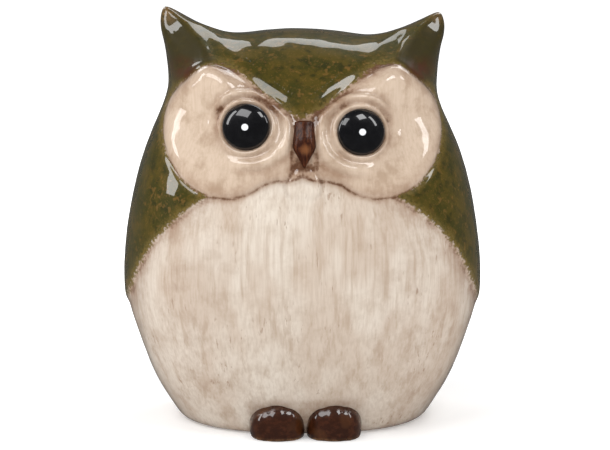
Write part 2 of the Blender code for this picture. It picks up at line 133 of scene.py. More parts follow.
def spline(points, count):
    """A natural cubic spline through the points, read at count places along its chords."""
    points = np.asarray(points, float)
    chord = np.linalg.norm(np.diff(points, axis=0), axis=1)
    knots = np.concatenate([[0.0], np.cumsum(chord)])
    size = len(points)
    system = np.eye(size)
    wanted = np.zeros_like(points)
    for i in range(1, size - 1):
        before, after = chord[i - 1], chord[i]
        system[i, i - 1 : i + 2] = (before, 2 * (before + after), after)
        wanted[i] = 6 * ((points[i + 1] - points[i]) / after - (points[i] - points[i - 1]) / before)
    bend = np.linalg.solve(system, wanted)
    along = np.linspace(0.0, knots[-1], count)
    span = np.clip(np.searchsorted(knots, along, side="right") - 1, 0, size - 2)
    length = chord[span][:, None]
    a = (knots[span + 1] - along)[:, None] / length
    b = 1.0 - a
    curve = (a**3 - a) * bend[span] + (b**3 - b) * bend[span + 1]
    return a * points[span] + b * points[span + 1] + curve * length**2 / 6.0


def waves(point, seed, count, shortest, longest):
    """A gentle unevenness from a few random waves, about -1 to 1. Lengths are in metres."""
    chance = np.random.default_rng(seed)
    total = np.zeros(len(point))
    for _ in range(count):
        direction = chance.normal(size=3)
        direction /= np.linalg.norm(direction)
        length = chance.uniform(shortest, longest)
        total += np.sin(point @ direction * 2 * math.pi / length + chance.uniform(0, 2 * math.pi))
    return total / math.sqrt(count)


# ---------------------------------------------------------------- the figure's form
def outline_radius(soften_degrees=0.9, per_degree=10):
    """Distance from the drawing's middle to the outline, against the angle from straight up."""
    line = np.vstack([spline(CROWN, 200), spline(SIDE, 600)[1:]])
    angle = np.arctan2(line[:, 0], line[:, 1] - DRAWN_MIDDLE)
    radius = np.hypot(line[:, 0], line[:, 1] - DRAWN_MIDDLE)
    order = np.argsort(angle)
    even = np.linspace(0.0, math.pi, 180 * per_degree + 1)
    radius = np.interp(even, angle[order], radius[order])
    reach = int(round(3 * soften_degrees * per_degree))
    steps = np.arange(-reach, reach + 1)
    weights = np.exp(-0.5 * (steps / (soften_degrees * per_degree)) ** 2)
    padded = np.concatenate([radius[reach:0:-1], radius, radius[-2 : -reach - 2 : -1]])
    return even, np.convolve(padded, weights / weights.sum(), mode="valid")


ANGLES, OUTLINE = outline_radius()
EAR_START, EAR_END = np.radians(EAR_ANGLES)
EARLESS = np.where(
    (ANGLES > EAR_START) & (ANGLES < EAR_END),
    np.interp(ANGLES, (EAR_START, EAR_END), np.interp((EAR_START, EAR_END), ANGLES, OUTLINE)),
    OUTLINE,
)
DEPTH_CURVE = spline(HALF_DEPTH, 300)
SIDE_CURVE = spline(SIDE, 600)[::-1]


def field(point, outline=OUTLINE, floor=0.0):
    """Under zero inside the figure. point and floor, the flat base's height, are in metres."""
    x, y, z = np.moveaxis(point / STRETCH, -1, 0)
    z = z + HEAD_LEAN * x * smooth(95.0, 125.0, z)
    up = z - DRAWN_MIDDLE
    angle = np.arctan2(np.abs(x), up)
    ear = np.interp(angle, ANGLES, outline - EARLESS) * smooth(EAR_BACK, 0.0, y)
    radius = np.interp(angle, ANGLES, EARLESS) + ear
    half_depth = np.interp(z, DEPTH_CURVE[:, 0], DEPTH_CURVE[:, 1])
    thinning = EAR_THINNING * smooth(128.0, 150.0, z) * smooth(12.0, 46.0, np.abs(x))
    half_depth = half_depth * (1.0 - thinning)
    across = (np.hypot(x, up) / radius) ** ROUNDNESS
    deep = (np.abs(y) / half_depth) ** ROUNDNESS
    share = (across + deep) ** (1 / ROUNDNESS)
    from_middle = np.linalg.norm(point - (0.0, 0.0, DRAWN_MIDDLE * STRETCH[2]), axis=-1)
    side = from_middle * (1.0 - 1.0 / np.maximum(share, 0.05))
    base = floor - point[..., 2]
    blend = np.maximum(BASE_EDGE - np.abs(side - base), 0.0) / BASE_EDGE
    return np.maximum(side, base) + blend**2 * BASE_EDGE / 4.0


def shoot(directions, start, **form):
    """Where each ray from start leaves the form."""
    near = np.zeros(len(directions))
    far = np.full(len(directions), 0.3)
    for _ in range(34):
        middle = (near + far) / 2.0
        outside = field(start + directions * middle[:, None], **form) > 0.0
        near = np.where(outside, near, middle)
        far = np.where(outside, middle, far)
    return start + directions * near[:, None]


def normals(point, step=0.2 * MM, **form):
    """The form's outward normal at each point."""
    steps = np.eye(3) * step
    slope = [field(point + by, **form) - field(point - by, **form) for by in steps]
    slope = np.stack(slope, axis=-1)
    return slope / np.linalg.norm(slope, axis=-1, keepdims=True)



def surface_point(place):
    """The point and outward normal on the front, at a drawn place."""
    start = np.array([[place[0], 0.0, place[1]]]) * STRETCH
    point = shoot(np.array([[0.0, -1.0, 0.0]]), start)
    return point[0], normals(point)[0]



# ---------------------------------------------------------------- where the details lie
def capsule(x, z, first, second):
    """Distance to the shape that two discs, each (centre, radius), sweep between them."""
    (ax, az), a_radius = first
    (bx, bz), b_radius = second
    run, rise = bx - ax, bz - az
    along = np.clip(((x - ax) * run + (z - az) * rise) / (run**2 + rise**2), 0.0, 1.0)
    from_line = np.hypot(x - ax - along * run, z - az - along * rise)
    return from_line - a_radius - along * (b_radius - a_radius)


def disc_distance(x, z):
    """Signed distance to the facial disc's edge, under zero inside.

    Its top is drawn out to a blunt corner.
    """
    across = np.abs(x)
    (centre_x, centre_z), radius = DISC
    turn = np.degrees(np.arctan2(across - centre_x, z - centre_z)) - DISC_CORNER_TURN
    lean = np.clip(DISC_CORNER_SPREAD - np.hypot(turn, DISC_CORNER_ROUND), 0.0, None)
    cornered = np.hypot(across - centre_x, z - centre_z) - radius / np.cos(np.radians(lean))
    return np.minimum(capsule(across, z, DISC, DISC_INNER), cornered)


def brow_height(x, z):
    """Distance above the green cap's lower edge."""
    return (z - BROW_LOW - BROW_SLOPE * np.hypot(x, 3.0)) / math.hypot(1.0, BROW_SLOPE)


def ear_ridge_distance(x, z):
    """Distance above the ridge that runs from the disc's top corner to the ear's tip."""
    (low_x, low_z), (tip_x, tip_z) = EAR_RIDGE
    run, rise = tip_x - low_x, tip_z - low_z
    above, beyond = z + HEAD_LEAN * x - low_z, np.abs(x) - low_x
    return (above * run - beyond * rise) / math.hypot(run, rise)


def belly_distance(x, y, z):
    """Signed distance to the belly's edge, over zero on the belly, carried on round the back."""
    half = np.interp(z, SIDE_CURVE[:, 1], SIDE_CURVE[:, 0])
    across = np.where(y < 0.0, np.abs(x), 2.0 * half - np.abs(x))
    return BELLY_RADIUS - np.hypot(across, np.maximum(z - BELLY_CENTRE, 0.0))


def beak_distance(x, z):
    """Distance outside the beak's rectangle, and 0 in it."""
    beside = np.maximum(np.abs(x - BEAK_TOP[0]) - BEAK_SIZE[0] / 2, 0.0)
    beyond = np.maximum(np.abs(z - BEAK_TOP[1] + BEAK_SIZE[1] / 2) - BEAK_SIZE[1] / 2, 0.0)
    return np.hypot(beside, beyond)


def eye_polar(point, x, z, place):
    """Distance from the eye's middle, and degrees turned from the beak's side over the top."""
    centre, _ = surface_point(place)
    away = np.linalg.norm((point - centre) / (1.0, 1.0, EYE_SQUASH), axis=-1) / MM
    inward = -math.copysign(1.0, place[0])
    return away, np.degrees(np.arctan2(z - place[1], (x - place[0]) * inward))


def ear_hollow(x, z):
    """Depth of the valley in the front of each ear, between its ridge and its outline."""
    outline = np.interp(z + HEAD_LEAN * x, SIDE_CURVE[:, 1], SIDE_CURVE[:, 0])
    from_outline = np.maximum(outline - np.abs(x), 0.01)
    from_ridge = np.maximum(-ear_ridge_distance(x, z), 0.01)
    valley = EAR_VALLEY * from_outline * from_ridge / (from_outline + from_ridge)
    return valley * smooth(116.0, 130.0, z) * smooth(-1.0, 6.0, disc_distance(x, z))


def eye_relief(point, x, z, place):
    """The lid ring, fold and corner round one eye.

    Gives their height, how much of the disc's own height is kept there, and the brown wash and
    painted shade in their creases.
    """
    away, turn = eye_polar(point, x, z, place)
    out = away - EYE_RADIUS
    around = (-180.0, -90.0, -30.0, 0.0, 45.0, 90.0, 140.0, 180.0)
    crest = np.interp(turn, around, (13.4, 13.9, 15.3, 15.0, 13.4, 12.6, 12.8, 13.4))
    width = np.interp(turn, around, (2.4, 2.8, 3.4, 3.2, 2.7, 2.3, 2.2, 2.4))
    fading = (-180.0, -150.0, -115.0, -80.0, 125.0, 160.0, 180.0)
    strength = np.interp(turn, fading, (0.18, 0.02, 0.06, 0.95, 0.85, 0.35, 0.18))
    corner = bump(turn - 152.0, 24.0) * bump(away - 12.2, 2.4)
    ring = LID_HEIGHT * bump(out - 0.9, 1.4)
    fold = FOLD_HEIGHT * strength * bump(away - crest, width)
    groove = bump(away - 0.5 * (EYE_RADIUS + 1.0 + crest), 1.6) * strength
    inner_top = bump(turn - 60.0, 70.0)
    # brown wash with painted shade in the grooves, at the eye's corner and round its edge, and a
    # halo on the outer side
    shade = (0.16 + 0.12 * inner_top) * groove + 0.7 * corner
    shade = shade + (0.25 + 0.1 * inner_top) * bump(out - 2.3, 1.6)
    shade = shade + 0.5 * bump(out + 0.2, 0.9)
    shade = shade + 0.35 * bump(away - crest - width, 2.2) * strength
    outer_side = bump(180.0 - np.abs(turn), 80.0)
    shade = shade + (0.10 + 0.32 * outer_side) * smooth(7.5, 0.5, out)
    return ring + fold - EYE_CORNER_DEPTH * corner, smooth(0.5, 10.0, out), shade


def relief(point):
    """How far the detail stands out of the form in metres, and how much brown wash and painted
    shade lies there.
    """
    x, y, z = np.moveaxis(point / STRETCH, -1, 0)
    across = np.abs(x)
    front = smooth(-6.0, -16.0, y)
    disc = disc_distance(x, z)
    brow = brow_height(x, z)
    belly = belly_distance(x, y, z)
    face = smooth(0.8, -2.6, brow) * front

    # the facial discs: a rolled rim inside a crease, round a shallow dish
    past_rim = -disc - DISH_START
    fall = DISH_SLOPE * (np.sqrt(past_rim**2 + 4.0) + past_rim) / 2.0
    fall = fall * (0.30 + 0.70 * smooth(94.0, 108.0, z)) * smooth(20.0, 38.0, across)
    fall = DISH_DEPTH * fall / (fall**4 + DISH_DEPTH**4) ** 0.25
    rim = RIM_HEIGHT * roll(-disc, RIM_WIDTH) * (1.0 - 0.5 * smooth(122.0, 134.0, z))
    rim = rim * (0.40 + 0.60 * smooth(95.0, 110.0, z))
    rim = rim * (0.65 + 0.35 * smooth(22.0, 38.0, across))
    height = rim - fall - DISC_CREASE * bump(disc, 1.6)

    # the lobe under the beak, with a crease round its lower edge
    bib = capsule(x, z, *BIB)
    on_bib = smooth(0.6, -0.6, bib) * smooth(86.5, 91.0, z)
    height = height * (1.0 - on_bib) + on_bib * BIB_HEIGHT * roll(-bib, 3.0)
    height = height - 0.25 * bump(bib, 1.2) * smooth(86.0, 90.0, z) * smooth(99.0, 95.0, z)
    height = height * face

    # brown wash in the creases, with painted shade in them and under the brow
    wash = 0.50 * bump(disc, 1.0) + 0.42 * smooth(-7.0, -0.3, disc) * smooth(2.5, 0.0, disc)
    under_brow = 0.50 * smooth(-6.0, -0.3, brow) * smooth(1.0, 0.0, brow)
    wash = wash + under_brow * smooth(33.0, 28.0, across)
    wash = wash + 0.30 * bump(bib, 1.3) * smooth(88.0, 91.0, z) * smooth(101.0, 96.0, z)

    for place in (LEFT_EYE, RIGHT_EYE):
        rolls, kept, shade = eye_relief(point, x, z, place)
        height = height * kept + face * rolls
        wash = wash + face * shade
    beak = beak_distance(x, z)
    height = height * smooth(-2.0, 2.6, beak)
    # painted shade round the beak and under its tip, with the brown wash
    under_beak = smooth(108.0, 99.0, z) * smooth(90.0, 97.0, z)
    wash = wash + (0.5 * bump(beak - 0.3, 1.2) + 0.35 * bump(beak, 6.0) * under_beak) * front

    # the brow's ridge, and the ears' ridges and valleys
    ahead = smooth(-1.0, -8.0, y)
    ridge = BROW_RIDGE * smooth(-1.6, 3.6, brow) * smooth(18.0, 3.0, brow)
    ridge = ridge * (1.0 - 0.7 * smooth(34.0, 46.0, across))
    crest = EAR_CREST * bump(ear_ridge_distance(x, z) - 0.4, 2.4)
    crest = crest * smooth(31.0, 36.0, across) * smooth(48.0, 42.0, across)
    height = height + (ridge + crest - ear_hollow(x, z)) * ahead

    # the step down from the wings to the belly
    wing = smooth(-0.5, 2.0, disc)
    step = smooth(-0.9, 0.9, belly) * smooth(15.0, 1.5, belly) * wing * smooth(5.0, 14.0, z)
    # brown wash and painted shade on the belly beside the wings' step, then painted shade darkening
    # the belly's sides
    belly_edge = 0.40 * bump(belly - 0.6, 1.6)
    belly_edge = belly_edge + 0.30 * smooth(7.0, 0.0, belly) * smooth(-1.0, 0.0, belly)
    wash = wash + belly_edge * wing
    wash = wash + 0.20 * smooth(12.0, 44.0, across) * smooth(0.0, 2.0, belly) * wing
    # painted shade round the feet, and darker towards the bottom
    feet = np.hypot(np.maximum(np.abs(x - 1.1) - 18.0, 0.0), np.maximum(z - 12.5, 0.0))
    wash = wash + 0.45 * smooth(3.5, 0.0, feet) * front + 0.35 * smooth(4.0, 0.5, z)

    # a hand-made unevenness, drawn in at the outermost places to stay inside the CAD's box
    uneven = 0.16 * waves(point, 3, 9, 22 * MM, 60 * MM)
    uneven = uneven + 0.035 * waves(point, 5, 12, 6 * MM, 14 * MM)
    outermost = np.maximum(smooth(54.0, 63.0, across), smooth(43.0, 51.0, np.abs(y)))
    outermost = np.maximum(outermost, smooth(140.0, 149.0, z))
    uneven = uneven * smooth(0.0, 6.0, z) - EDGE_INSET * outermost
    return (height - BELLY_STEP * step + uneven) * MM, np.clip(wash, 0.0, 1.0)


def green_distance(point):
    """Signed distance to the edge of the green glaze, over zero in the green."""
    x, y, z = np.moveaxis(point / STRETCH, -1, 0)
    disc = np.where(y < -4.0, disc_distance(x, z), 50.0)
    return np.maximum(brow_height(x, z), np.minimum(disc, -belly_distance(x, y, z)))


# ---------------------------------------------------------------- meshes
def cube_sphere(cells):
    """Unit directions and quads of a cube's six faces, cells by cells, with the seams joined."""
    grid = np.tan(np.linspace(-math.pi / 4, math.pi / 4, cells + 1))
    across, up = np.meshgrid(grid, grid, indexing="ij")
    index = np.arange((cells + 1) ** 2).reshape(cells + 1, cells + 1)
    corners = [index[:-1, :-1], index[1:, :-1], index[1:, 1:], index[:-1, 1:]]
    face = np.stack(corners, axis=-1).reshape(-1, 4)
    points, quads = [], []
    for axis in range(3):
        for sign in (1.0, -1.0):
            outward = np.zeros(3)
            outward[axis] = sign
            first = np.roll(np.array([0.0, 1.0, 0.0]), axis)
            second = np.cross(outward, first)
            side = outward + across[..., None] * first + up[..., None] * second
            quads.append(face + len(points) * len(side.reshape(-1, 3)))
            points.append(side.reshape(-1, 3))
    points = np.concatenate(points)
    _, first_seen, joined = np.unique(
        points.round(6), axis=0, return_index=True, return_inverse=True
    )
    points = points[first_seen]
    directions = points / np.linalg.norm(points, axis=1, keepdims=True)
    return directions, joined.reshape(-1)[np.concatenate(quads)]


def refined(points, quads, chosen):
    """Splits each chosen quad in four. Its neighbours take the new corners on their edges."""
    start, end = quads, np.roll(quads, -1, axis=1)
    ends = np.sort(np.stack([start, end], axis=-1), axis=-1).reshape(-1, 2)
    edges, edge_of = np.unique(ends, axis=0, return_inverse=True)
    edge_of = edge_of.reshape(quads.shape)
    split = np.zeros(len(edges), bool)
    split[edge_of[chosen].ravel()] = True
    on_edge = np.where(split, len(points) + np.cumsum(split) - 1, -1)
    halfway = points[edges[split]].mean(axis=1)
    centres = points[quads[chosen]].mean(axis=1)
    first_centre = len(points) + len(halfway)
    corners, middles = quads[chosen], on_edge[edge_of[chosen]]
    centre = np.arange(first_centre, first_centre + len(centres))
    faces = []
    for side in range(4):
        parts = (corners[:, side], middles[:, side], centre, middles[:, side - 1])
        faces += np.stack(parts, axis=-1).tolist()
    for quad, sides in zip(quads[~chosen].tolist(), on_edge[edge_of[~chosen]].tolist()):
        faces.append([index for pair in zip(quad, sides) for index in pair if index >= 0])
    points = np.concatenate([points, halfway, centres])
    return points / np.linalg.norm(points, axis=1, keepdims=True), faces


def mesh_object(name, points, faces, material):
    mesh = bpy.data.meshes.new(name)
    mesh.from_pydata([tuple(p) for p in points], [], [tuple(f) for f in faces])
    mesh.update()
    mesh.shade_smooth()
    mesh.set_sharp_from_angle(angle=math.radians(SHARP_DEGREES))
    made = bpy.data.objects.new(name, mesh)
    bpy.context.scene.collection.objects.link(made)
    mesh.materials.append(material)
    return made


def add_values(made, **values):
    """Stores one number per vertex under each name, for the material to read."""
    for name, numbers in values.items():
        stored = made.data.attributes.new(name, "FLOAT", "POINT").data
        stored.foreach_set("value", np.asarray(numbers, np.float32))


def cut(target, cutter):
    """Subtracts cutter from target for good and removes it. New faces keep its material."""
    step = target.modifiers.new("cut", "BOOLEAN")
    step.object = cutter
    step.solver = "EXACT"
    step.material_mode = "TRANSFER"
    graph = bpy.context.evaluated_depsgraph_get()
    graph.update()
    made = bpy.data.meshes.new_from_object(target.evaluated_get(graph))
    target.modifiers.clear()
    old = target.data
    target.data = made
    made.name = old.name + "_cut"
    bpy.data.objects.remove(cutter)


def turned(name, profile, segments, material):
    """A solid turned about Z from a profile of (radius, height), on the axis at both ends."""
    ring = [2 * math.pi * k / segments for k in range(segments)]
    points, rows = [], []
    for radius, height in profile:
        if radius < 1e-9:
            rows.append([len(points)] * segments)
            points.append((0.0, 0.0, height))
        else:
            rows.append(list(range(len(points), len(points) + segments)))
            points += [(radius * math.cos(a), radius * math.sin(a), height) for a in ring]
    faces = []
    for lower, upper in zip(rows, rows[1:]):
        for k in range(segments):
            n = (k + 1) % segments
            faces.append(tuple(dict.fromkeys([lower[k], lower[n], upper[n], upper[k]])))
    return mesh_object(name, points, faces, material)


# ---------------------------------------------------------------- material helper
class Nodes:
    """Builds a material's node tree in short calls.

    A value may be a number, a tuple or another node's output.
    """

    def __init__(self, name):
        self.material = bpy.data.materials.new(name)
        self.material.use_nodes = True
        self.tree = self.material.node_tree
        self.shader = self.tree.nodes["Principled BSDF"]

    def put(self, socket, value):
        if isinstance(value, bpy.types.NodeSocket):
            self.tree.links.new(value, socket)
        elif isinstance(value, tuple) and len(value) == 3 and socket.type == "RGBA":
            socket.default_value = (*value, 1.0)
        else:
            socket.default_value = value

    def node(self, kind, output=0, settings=None, **inputs):
        made = self.tree.nodes.new(kind)
        for name, value in (settings or {}).items():
            setattr(made, name, value)
        for name, value in inputs.items():
            self.put(made.inputs[name.replace("_", " ")], value)
        return made.outputs[output]

    def value(self, name):
        made = self.tree.nodes.new("ShaderNodeAttribute")
        made.attribute_name = name
        return made.outputs["Fac"]

    def place(self, scale=(1.0, 1.0, 1.0)):
        """The point on the piece in millimetres, each axis multiplied by scale."""
        coordinates = self.node("ShaderNodeTexCoord", 3)
        made = self.tree.nodes.new("ShaderNodeMapping")
        self.put(made.inputs["Vector"], coordinates)
        made.inputs["Scale"].default_value = tuple(by / MM for by in scale)
        return made.outputs[0]

    def noise(self, size, detail=3.0, roughness=0.55, scale=(1.0, 1.0, 1.0), distortion=0.0):
        """0 to 1 noise, with lumps about size millimetres across."""
        return self.node(
            "ShaderNodeTexNoise",
            Vector=self.place(scale),
            Scale=1.0 / size,
            Detail=detail,
            Roughness=roughness,
            Distortion=distortion,
        )

    def math(self, operation, first, second=0.0, third=0.0, clamp=False):
        made = self.tree.nodes.new("ShaderNodeMath")
        made.operation = operation
        made.use_clamp = clamp
        for socket, value in zip(made.inputs, (first, second, third)):
            self.put(socket, value)
        return made.outputs[0]

    def ramp(self, value, low, high, to_low=0.0, to_high=1.0):
        """value from low to high, as to_low to to_high, with an even curve."""
        made = self.tree.nodes.new("ShaderNodeMapRange")
        made.interpolation_type = "SMOOTHSTEP"
        for socket, number in zip(made.inputs, (value, low, high, to_low, to_high)):
            self.put(socket, number)
        return made.outputs[0]

    def mix(self, share, first, second):
        made = self.tree.nodes.new("ShaderNodeMix")
        made.data_type = "RGBA"
        self.put(made.inputs[0], share)
        self.put(made.inputs[6], first)
        self.put(made.inputs[7], second)
        return made.outputs[2]

    def paint(self, base, colour, mask, share):
        """base with colour laid over it, as far as mask times share."""
        return self.mix(self.math("MULTIPLY", mask, share), base, colour)

    def bumps(self, height, strength, distance):
        """A normal that follows height, which counts for distance metres."""
        return self.node("ShaderNodeBump", Strength=strength, Distance=distance, Height=height)

    def glaze(
        self, colour, roughness=0.35, coat=1.0, coat_roughness=0.03, height=None, distance=0.0
    ):
        """A painted body under a clear coat, with bumps if height is given."""
        self.put(self.shader.inputs["Base Color"], colour)
        self.put(self.shader.inputs["Roughness"], roughness)
        self.shader.inputs["Specular IOR Level"].default_value = 0.1
        self.shader.inputs["Coat Weight"].default_value = coat
        self.shader.inputs["Coat Roughness"].default_value = coat_roughness
        self.shader.inputs["Coat IOR"].default_value = 1.55
        if height is not None:
            normal = self.bumps(height, 1.0, distance)
            self.put(self.shader.inputs["Normal"], normal)
            self.put(self.shader.inputs["Coat Normal"], normal)
        return self.material


# ---------------------------------------------------------------- materials
CREAM = (0.710, 0.630, 0.540)
BEIGE = (0.610, 0.510, 0.420)
FACE_CREAM = (0.610, 0.480, 0.370)
BRUSHED = (0.380, 0.265, 0.180)
# brown wash, also the painted shade in the creases; the first also colours the rare scratches on
# the belly
WASH_AND_SHADE = (0.240, 0.125, 0.068)
DEEP_WASH_AND_SHADE = (0.085, 0.032, 0.014)
GREEN = (0.042, 0.037, 0.003)
DARK_GREEN = (0.022, 0.023, 0.002)
OLIVE = (0.076, 0.053, 0.005)
SPECKLE = (0.200, 0.100, 0.022)
EDGE_YELLOW = (0.190, 0.130, 0.036)
# darker brown for the ears' valleys, partly painted shade
EAR_BROWN_AND_SHADE = (0.034, 0.026, 0.006)
EAR_RED = (0.070, 0.018, 0.006)
TAN = (0.230, 0.130, 0.050)
CLAY = (0.60, 0.52, 0.42)
STAINED_CLAY = (0.45, 0.36, 0.27)
CLAY_GRAIN = (0.34, 0.27, 0.20)
EYE_BLACK = (0.002, 0.002, 0.003)
EYE_HAZE = (0.006, 0.006, 0.007)
EYE_DOT = (0.84, 0.86, 0.88)
BEAK_DARK = (0.028, 0.006, 0.002)
BEAK_RED = (0.090, 0.025, 0.008)
# a painted highlight on the beak
BEAK_HIGHLIGHT = (0.26, 0.10, 0.035)
FOOT_DARK = (0.034, 0.009, 0.003)
FOOT_RED = (0.070, 0.020, 0.007)
FOOT_POOL = (0.100, 0.036, 0.011)
FOOT_THIN = (0.30, 0.17, 0.08)
RUBBER = (0.018, 0.018, 0.019)
DUSTY_RUBBER = (0.055, 0.052, 0.048)


def painted_glaze():
    """Green over cream, each brushed and mottled, with brown wash and painted shade in the creases.
    """
    n = Nodes("painted_glaze")
    fine = n.noise(1.1, detail=4.0)
    lumps = n.noise(5.0, detail=3.0)
    edge = n.math("MULTIPLY_ADD", fine, 3.2, n.math("MULTIPLY_ADD", lumps, 1.6, -2.4))
    edge = n.math("ADD", n.value("green"), edge)
    on_green = n.ramp(edge, -0.5, 0.5)

    # cream: broad soft patches, brushed up and down on the belly and smudged on the face
    broad = n.noise(20.0, detail=3.0, scale=(1.0, 1.0, 0.5))
    smudge = n.noise(8.0, detail=5.0, roughness=0.62)
    fine_lines = n.noise(0.8, detail=3.0, scale=(1.0, 1.0, 0.045))
    streaks = n.noise(2.6, detail=4.0, roughness=0.6, scale=(1.0, 1.0, 0.09))
    scratches = n.noise(1.0, detail=3.0, scale=(1.0, 1.0, 0.13))
    on_belly = n.math("MULTIPLY_ADD", n.value("face"), -0.75, 1.0)
    cream = n.mix(n.ramp(broad, 0.42, 0.60), CREAM, BEIGE)
    cream = n.mix(n.value("face"), cream, FACE_CREAM)
    cream = n.paint(cream, BRUSHED, n.ramp(fine_lines, 0.40, 0.66), 0.20)
    streaked = n.math("MULTIPLY", on_belly, 0.42)
    cream = n.paint(cream, BRUSHED, n.ramp(streaks, 0.48, 0.70), streaked)
    smudged = n.math("MULTIPLY_ADD", n.value("face"), 0.40, 0.28)
    cream = n.paint(cream, BRUSHED, n.ramp(smudge, 0.44, 0.70), smudged)
    scratched = n.ramp(n.noise(13.0, detail=2.0), 0.50, 0.64)
    rare = n.math("MULTIPLY", n.ramp(scratches, 0.60, 0.70), scratched)
    cream = n.paint(cream, WASH_AND_SHADE, rare, n.math("MULTIPLY", on_belly, 0.55))
    # brown wash and painted shade in the creases, round the eyes, beak and feet and down the
    # belly's sides, mottled, darkest in the deepest
    wash = n.math("MULTIPLY", n.value("wash"), n.ramp(smudge, 0.32, 0.60, 0.60, 1.10))
    wash = n.math("MULTIPLY", wash, n.ramp(fine, 0.30, 0.60, 0.85, 1.05))
    cream = n.mix(n.math("MULTIPLY", wash, 0.90, clamp=True), cream, WASH_AND_SHADE)
    cream = n.mix(n.ramp(wash, 0.60, 1.10, 0.0, 0.8), cream, DEEP_WASH_AND_SHADE)

    # green: mottled, with tan speckles, yellower at its edge, and browner and darker in the ears'
    # valleys, partly as painted shade
    mottle = n.noise(9.0, detail=4.0, roughness=0.62)
    green = n.mix(n.ramp(mottle, 0.40, 0.62), GREEN, OLIVE)
    green = n.paint(green, DARK_GREEN, n.ramp(n.noise(3.2, detail=3.0), 0.50, 0.68), 0.8)
    clusters = n.ramp(n.noise(16.0, detail=2.0), 0.40, 0.60, 0.25, 1.0)
    speckles = n.math("MULTIPLY", n.ramp(n.noise(1.9, detail=1.5), 0.57, 0.67), clusters)
    green = n.paint(green, SPECKLE, speckles, 0.48)
    green = n.paint(green, SPECKLE, n.ramp(n.noise(0.8, detail=1.0), 0.58, 0.70), 0.30)
    broken = n.ramp(fine, 0.36, 0.60, 0.25, 1.0)
    rim = n.math("MULTIPLY", n.ramp(n.value("green"), 3.0, 0.0), broken)
    green = n.paint(green, EDGE_YELLOW, rim, 0.70)
    # the ears' valleys darker brown: brown glaze, and painted shade where they face away
    green = n.paint(green, EAR_BROWN_AND_SHADE, n.value("ear"), n.ramp(lumps, 0.30, 0.55, 0.65, 0.95))
    green = n.paint(green, EAR_RED, n.value("red"), n.ramp(lumps, 0.35, 0.55, 0.3, 0.9))
    green = n.paint(green, TAN, n.value("tip"), n.ramp(fine, 0.40, 0.60, 0.2, 0.8))

    ripple = n.noise(7.0, detail=1.0)
    return n.glaze(n.mix(on_green, cream, green), height=ripple, distance=0.05 * MM)


def bare_clay():
    """Unglazed earthenware, on the foot ring and inside."""
    n = Nodes("bare_clay")
    grain = n.noise(0.8, detail=5.0)
    stain = n.noise(12.0, detail=3.0)
    colour = n.mix(n.ramp(stain, 0.4, 0.7), CLAY, STAINED_CLAY)
    colour = n.paint(colour, CLAY_GRAIN, n.ramp(grain, 0.5, 0.8), 0.4)
    n.put(n.shader.inputs["Base Color"], colour)
    n.shader.inputs["Roughness"].default_value = 0.85
    n.put(n.shader.inputs["Normal"], n.bumps(grain, 0.6, 0.1 * MM))
    return n.material


def eye_glaze():
    """Glossy black with a small painted dot."""
    n = Nodes("black_eye_glaze")
    haze = n.noise(3.0, detail=4.0)
    black = n.mix(n.ramp(haze, 0.4, 0.8), EYE_BLACK, EYE_HAZE)
    dot = n.ramp(n.value("dot"), 1.10, 1.38, 1.0, 0.0)
    return n.glaze(n.mix(dot, black, EYE_DOT), roughness=0.3, coat_roughness=0.01)


def beak_glaze():
    """Dark red-brown strokes down the beak, with a painted highlight: a lighter spot low on it,
    where it bulges most.
    """
    n = Nodes("brushed_beak_glaze")
    strokes = n.noise(0.9, detail=5.0, roughness=0.7, scale=(1.0, 1.0, 0.16), distortion=0.5)
    patch = n.noise(3.2, detail=3.0)
    colour = n.mix(n.ramp(strokes, 0.42, 0.66), BEAK_DARK, BEAK_RED)
    # a painted highlight, lighter where the beak bulges most
    patchy = n.ramp(patch, 0.35, 0.6, 0.5, 1.0)
    spot = n.math("MULTIPLY", n.ramp(n.value("spot"), 2.6, 0.4), patchy)
    colour = n.paint(colour, BEAK_HIGHLIGHT, spot, 0.55)
    return n.glaze(
        colour, roughness=0.5, coat=0.18, coat_roughness=0.12, height=strokes, distance=0.04 * MM
    )


def foot_glaze():
    """Umber glaze that is thin and pale near the ground."""
    n = Nodes("umber_foot_glaze")
    streaks = n.noise(1.6, detail=5.0, roughness=0.65, scale=(0.6, 1.0, 1.0))
    pools = n.noise(6.0, detail=0.0)
    colour = n.mix(n.ramp(streaks, 0.42, 0.72), FOOT_DARK, FOOT_RED)
    colour = n.paint(colour, FOOT_POOL, n.ramp(pools, 0.48, 0.7), 0.4)
    streaky = n.ramp(streaks, 0.40, 0.65, 0.2, 1.0)
    thin = n.math("MULTIPLY", n.ramp(n.value("ground"), 1.3, 0.2), streaky)
    colour = n.paint(colour, FOOT_THIN, thin, 0.6)
    return n.glaze(colour)


def moulded_rubber():
    """Dull black rubber with pale dust on it."""
    n = Nodes("moulded_rubber")
    grain = n.noise(0.5, detail=4.0)
    dust = n.noise(9.0, detail=4.0)
    colour = n.mix(n.ramp(dust, 0.45, 0.8), RUBBER, DUSTY_RUBBER)
    n.put(n.shader.inputs["Base Color"], colour)
    n.put(n.shader.inputs["Roughness"], n.ramp(dust, 0.3, 0.8, 0.5, 0.75))
    n.put(n.shader.inputs["Normal"], n.bumps(grain, 0.5, 0.05 * MM))
    return n.material


# ---------------------------------------------------------------- the casting
SHELL_CELLS = 100
CAVITY_CELLS = 24


def base_section():
    """Half width and half depth of the flat under the base."""
    just_above = np.array([0.0, 0.0, BASE_EDGE / 20.0])
    reach = shoot(np.array([[1.0, 0.0, 0.0], [0.0, 1.0, 0.0]]), just_above)
    return reach[0, 0] - BASE_EDGE, reach[1, 1] - BASE_EDGE


